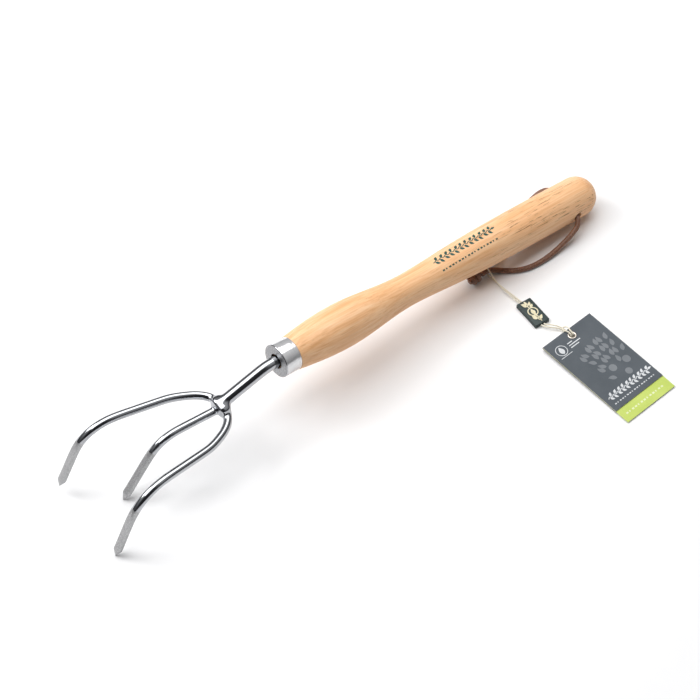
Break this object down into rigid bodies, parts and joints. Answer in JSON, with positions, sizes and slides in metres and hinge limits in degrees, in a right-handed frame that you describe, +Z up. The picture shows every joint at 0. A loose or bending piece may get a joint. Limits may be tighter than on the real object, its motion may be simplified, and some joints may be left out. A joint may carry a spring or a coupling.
{
  "type": "hand cultivator",
  "caption": "Hand cultivator with a bent steel neck and curved sharpened tines in a ferruled turned wooden handle, with a leather hanging loop and a swing tag on a string.",
  "frame": {"origin": "on the surface that the object lies on, under the middle of its box", "axes": "+X along the handle towards the butt, +Y towards the left-hand tine, +Z up as it lies at rest"},
  "size_m": [0.441, 0.2003, 0.0631],
  "materials": {
    "beech": "satin clear oil, fine dark flecks along the grain",
    "ferrule_steel": "polished side, ground front face",
    "polished_steel": "mirror polished, lower legs of the tines ground matt",
    "weld_steel": "dark ground weld metal",
    "resin": "cured casting resin, hidden",
    "thong_leather": "waxed round leather thong",
    "cream_string": "waxed twisted cotton",
    "seal_plastic": "moulded dark green",
    "emblem_ink": "raised cream motif",
    "grey_card": "printed uncoated card",
    "green_card": "printed uncoated card",
    "eyelet_metal": "pressed bright eyelet"
  },
  "bodies": {
    "tool": {"handle": "beech", "ferrule": "ferrule_steel", "neck_tang": "polished_steel", "tang_resin": "resin", "outer_tines": "polished_steel", "middle_tine": "polished_steel", "weld_left": "weld_steel", "weld_right": "weld_steel"},
    "loop": {"lanyard_thong": "thong_leather", "lanyard_knot": "thong_leather"},
    "tag_line": {"hanger_string": "cream_string", "seal_face_half": "seal_plastic", "seal_back_half": "seal_plastic", "seal_emblem": "emblem_ink", "tag_string": "cream_string"},
    "tag": {"tag_back_leaf": "grey_card", "eyelet": "eyelet_metal", "eyelet_washer": "eyelet_metal"},
    "green_leaf": {"tag_green_leaf": "green_card"},
    "front_leaf": {"tag_front_leaf": "grey_card"}
  },
  "joints": [
    {"name": "loop_swing", "type": "hinge", "parent": "tool", "child": "loop", "pos_m": [0.19435, 0.0597, 0.01646], "axis": [-0.0137, -0.9946, -0.1028], "range_deg": [0, 180]},
    {"name": "line_swing", "type": "hinge", "parent": "loop", "child": "tag_line", "pos_m": [0.1161, 0.0575, 0.0052], "axis": [0, 0, 1], "range_deg": [-20, 20]},
    {"name": "tag_turn", "type": "hinge", "parent": "tag_line", "child": "tag", "pos_m": [0.1235, -0.02411, 0.00135], "axis": [0.0005, -0.0209, 0.9998], "range_deg": [-15, 15]},
    {"name": "green_leaf_fan", "type": "hinge", "parent": "tag", "child": "green_leaf", "pos_m": [0.1235, -0.02411, 0.00135], "axis": [0.0005, -0.0209, 0.9998], "range_deg": [-15, 15]},
    {"name": "front_leaf_fan", "type": "hinge", "parent": "tag", "child": "front_leaf", "pos_m": [0.1235, -0.02411, 0.00135], "axis": [0.0005, -0.0209, 0.9998], "range_deg": [-15, 15]}
  ]
}
